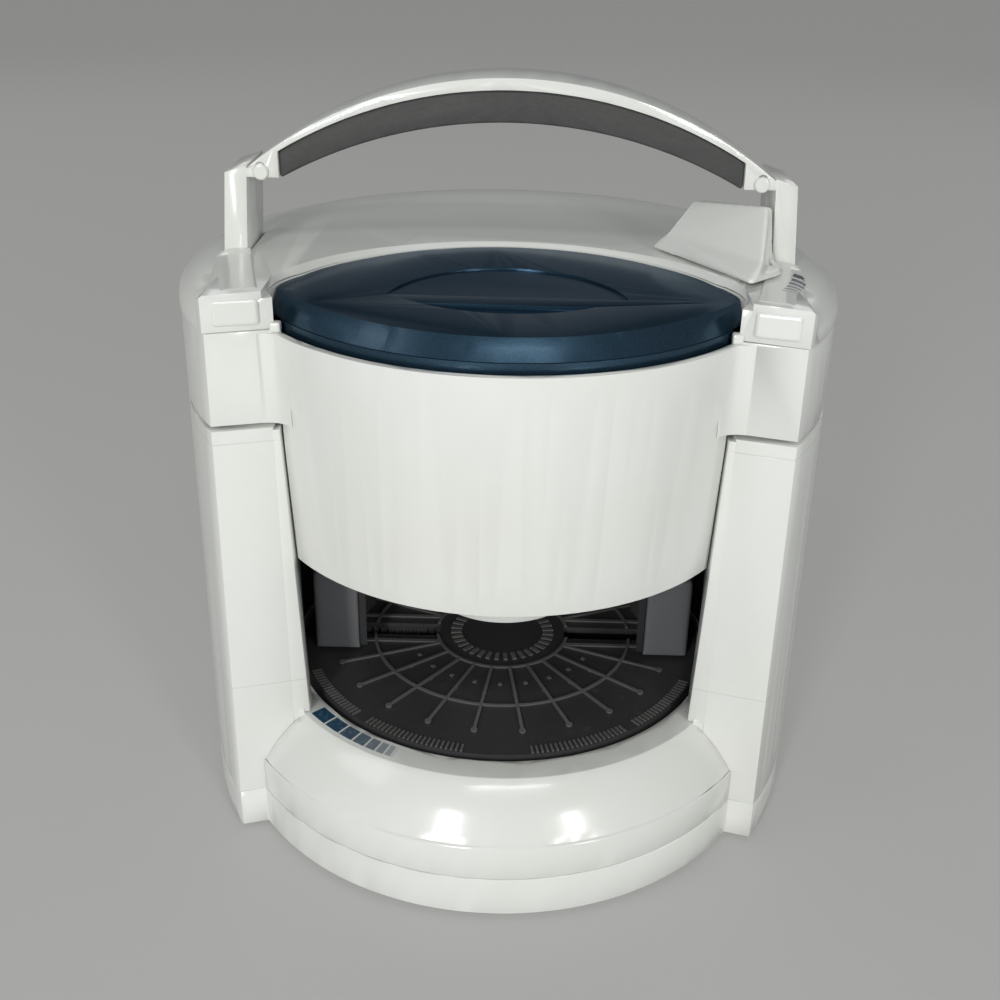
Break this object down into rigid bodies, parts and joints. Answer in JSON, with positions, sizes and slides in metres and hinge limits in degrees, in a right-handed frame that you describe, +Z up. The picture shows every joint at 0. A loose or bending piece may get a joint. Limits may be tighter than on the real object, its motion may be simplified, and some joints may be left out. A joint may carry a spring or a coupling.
{
  "type": "electric jar opener",
  "caption": "Countertop electric jar opener with a turning platter, sliding jaws, a lifting head with a carrying handle, a power pad and a release lever.",
  "frame": {"origin": "platter axis at the table plane", "axes": "+X to the right, +Y to the back, +Z up; the open front of the bay faces -Y"},
  "size_m": [0.2386, 0.22, 0.2748],
  "materials": {
    "white_plastic": "glossy white moulded plastic",
    "black_rubber": "matte black rubber",
    "grip_rubber": "soft dark grey rubber",
    "pad_rubber": "ribbed soft black rubber",
    "liner_plastic": "dark grey satin plastic",
    "dark_plastic": "matte black plastic",
    "platter_plastic": "near black textured plastic",
    "jaw_plastic": "medium grey satin plastic",
    "rack_metal": "stamped steel strip",
    "steel": "plain bright steel",
    "motor_steel": "satin steel can",
    "gear_nylon": "off-white nylon",
    "brass": "plain brass",
    "circuit_board": "green circuit board",
    "blue_pad": "dark metallic blue, satin"
  },
  "bodies": {
    "base": {"base_pan": "white_plastic", "rubber_feet": "black_rubber", "base_housing": "white_plastic", "tower_housing": "white_plastic", "bay_liner": "liner_plastic", "leg_guides": "dark_plastic", "ratchet_rack": "rack_metal", "spindle": "steel", "spindle_clip": "steel", "glide_ring": "gear_nylon", "idler_axle": "steel", "drive_motor": "motor_steel", "motor_bracket": "dark_plastic", "case_screws": "steel", "power_board": "circuit_board", "cord_bush": "black_rubber"},
    "turntable": {"platter": "platter_plastic", "jaw_guide": "dark_plastic", "pinion_pin": "white_plastic", "drive_gear": "gear_nylon", "platter_screws": "steel"},
    "low_jaw_left": {"lower_jaw_left": "jaw_plastic", "lower_pad_left": "pad_rubber"},
    "low_jaw_right": {"lower_jaw_right": "jaw_plastic", "lower_pad_right": "pad_rubber"},
    "low_pinion": {"lower_pinion": "gear_nylon"},
    "idler": {"idler_gear": "gear_nylon"},
    "motor_shaft": {"motor_pinion": "brass"},
    "head": {"head_skirt": "white_plastic", "head_cover": "white_plastic", "handle": "white_plastic", "grip": "grip_rubber", "handle_pins": "steel", "head_frame": "dark_plastic", "upper_carrier": "jaw_plastic", "pad_deck": "dark_plastic", "pad_switch": "dark_plastic", "clamp_motor": "motor_steel", "head_screws": "steel", "lid_springs": "steel", "pad_springs": "steel"},
    "presser": {"lid_plate": "white_plastic", "lid_rods": "steel"},
    "up_jaw_left": {"upper_jaw_left": "jaw_plastic", "upper_pad_left": "pad_rubber"},
    "up_jaw_right": {"upper_jaw_right": "jaw_plastic", "upper_pad_right": "pad_rubber"},
    "up_pinion": {"upper_pinion": "gear_nylon"},
    "clamp_shaft": {"clamp_pinion": "brass"},
    "pad": {"power_pad": "blue_pad"},
    "release": {"release_lever": "white_plastic", "release_rod": "steel"}
  },
  "joints": [
    {"name": "head_lift", "type": "slide", "parent": "base", "child": "head", "axis": [0, 0, 1], "range_m": [0, 0.105]},
    {"name": "platter_spin", "type": "hinge", "parent": "base", "child": "turntable", "pos_m": [0, 0, 0.05], "axis": [0, 0, 1], "continuous": true},
    {"name": "idler_spin", "type": "hinge", "parent": "base", "child": "idler", "pos_m": [0.04556, 0.05831, 0.02], "axis": [0, 0, 1], "continuous": true},
    {"name": "motor_spin", "type": "hinge", "parent": "base", "child": "motor_shaft", "pos_m": [0.06218, 0.07959, 0.03], "axis": [0, 0, 1], "continuous": true},
    {"name": "lower_left_slide", "type": "slide", "parent": "turntable", "child": "low_jaw_left", "axis": [1, 0, 0], "range_m": [0, 0.035]},
    {"name": "lower_right_slide", "type": "slide", "parent": "turntable", "child": "low_jaw_right", "axis": [-1, 0, 0], "range_m": [0, 0.035]},
    {"name": "lower_pinion_spin", "type": "hinge", "parent": "turntable", "child": "low_pinion", "pos_m": [0, 0, 0.045], "axis": [0, 0, -1], "range_deg": [0, 251]},
    {"name": "upper_left_slide", "type": "slide", "parent": "head", "child": "up_jaw_left", "axis": [1, 0, 0], "range_m": [0, 0.035]},
    {"name": "upper_right_slide", "type": "slide", "parent": "head", "child": "up_jaw_right", "axis": [-1, 0, 0], "range_m": [0, 0.035]},
    {"name": "upper_pinion_spin", "type": "hinge", "parent": "head", "child": "up_pinion", "pos_m": [0, 0, 0.127], "axis": [0, 0, -1], "range_deg": [0, 251]},
    {"name": "clamp_motor_spin", "type": "hinge", "parent": "head", "child": "clamp_shaft", "pos_m": [0.01344, 0.01344, 0.133], "axis": [0, 0, -1], "range_deg": [-703, 0]},
    {"name": "lid_press", "type": "slide", "parent": "head", "child": "presser", "axis": [0, 0, 1], "range_m": [0, 0.026], "stiffness_N_per_m": 150, "springref_m": -0.01, "deforming": ["lid_springs"]},
    {"name": "pad_press", "type": "slide", "parent": "head", "child": "pad", "axis": [0, 0, -1], "range_m": [0, 0.0025], "stiffness_N_per_m": 1200, "springref_m": -0.002, "deforming": ["pad_springs"]},
    {"name": "release_turn", "type": "hinge", "parent": "head", "child": "release", "pos_m": [0.088, -0.024, 0.2], "axis": [0, 0, -1], "range_deg": [0, 6], "stiffness_Nm_per_rad": 1.5, "springref_deg": -5.73}
  ],
  "couplings": [
    {"joint": "idler_spin", "follows": "platter_spin", "ratio": -11.333},
    {"joint": "motor_spin", "follows": "platter_spin", "ratio": 49.867},
    {"joint": "lower_right_slide", "follows": "lower_left_slide", "ratio": 1},
    {"joint": "lower_pinion_spin", "follows": "lower_left_slide", "rad_per_m": 125},
    {"joint": "upper_right_slide", "follows": "upper_left_slide", "ratio": 1},
    {"joint": "upper_pinion_spin", "follows": "upper_left_slide", "rad_per_m": 125},
    {"joint": "clamp_motor_spin", "follows": "upper_left_slide", "rad_per_m": -350}
  ]
}
